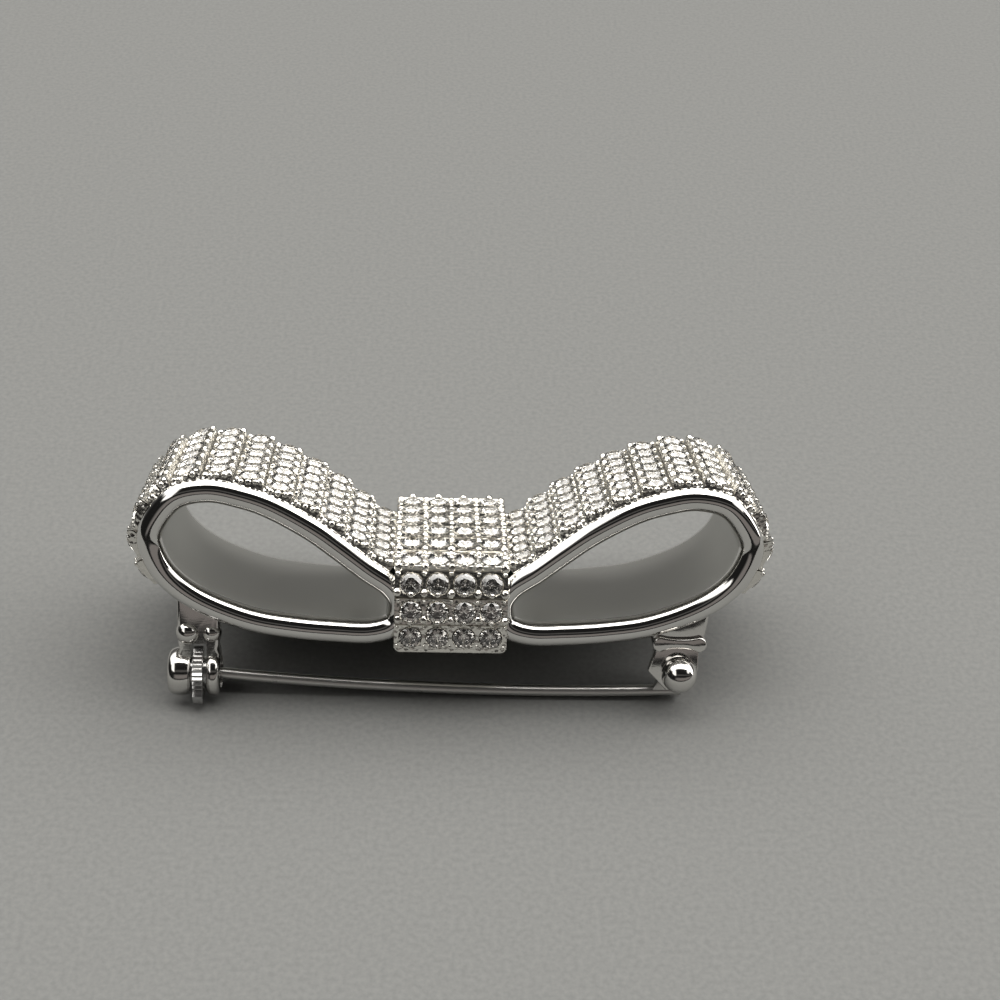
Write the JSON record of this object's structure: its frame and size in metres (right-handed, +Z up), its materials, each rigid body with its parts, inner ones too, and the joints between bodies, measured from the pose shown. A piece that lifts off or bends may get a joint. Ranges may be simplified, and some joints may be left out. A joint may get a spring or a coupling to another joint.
{
  "type": "bow brooch",
  "caption": "Bow-shaped brooch of polished white metal, its loops and knot set with cut stones, with a hinged pin stem and a rollover catch on the back.",
  "frame": {"origin": "centre of the bounding box's base, on the surface that the brooch lies on", "axes": "+Z up from the surface, X along the bow from the catch's side to the hinge's side, the open front rims towards -Y"},
  "size_m": [0.0388, 0.0154, 0.0142],
  "materials": {
    "polished_silver": "mirror polished, rhodium bright",
    "clear_stone": "faceted and polished",
    "findings_metal": "polished"
  },
  "bodies": {
    "bow": {"bow_frame": "polished_silver", "left_loop_stones": "clear_stone", "right_loop_stones": "clear_stone", "knot_stones": "clear_stone", "hinge_rivet": "findings_metal"},
    "catch_lever": {"catch_lever": "findings_metal"},
    "pin_stem": {"pin_stem": "findings_metal"}
  },
  "joints": [
    {"name": "stem_hinge", "type": "hinge", "parent": "bow", "child": "pin_stem", "pos_m": [0.01392, -0.00495, 0.0022], "axis": [0.002, -0.9265, 0.3763], "range_deg": [0, 75]},
    {"name": "lever_turn", "type": "hinge", "parent": "bow", "child": "catch_lever", "pos_m": [-0.01524, -0.0053, 0.0015], "axis": [-1, 0, 0.0053], "range_deg": [0, 100]}
  ]
}
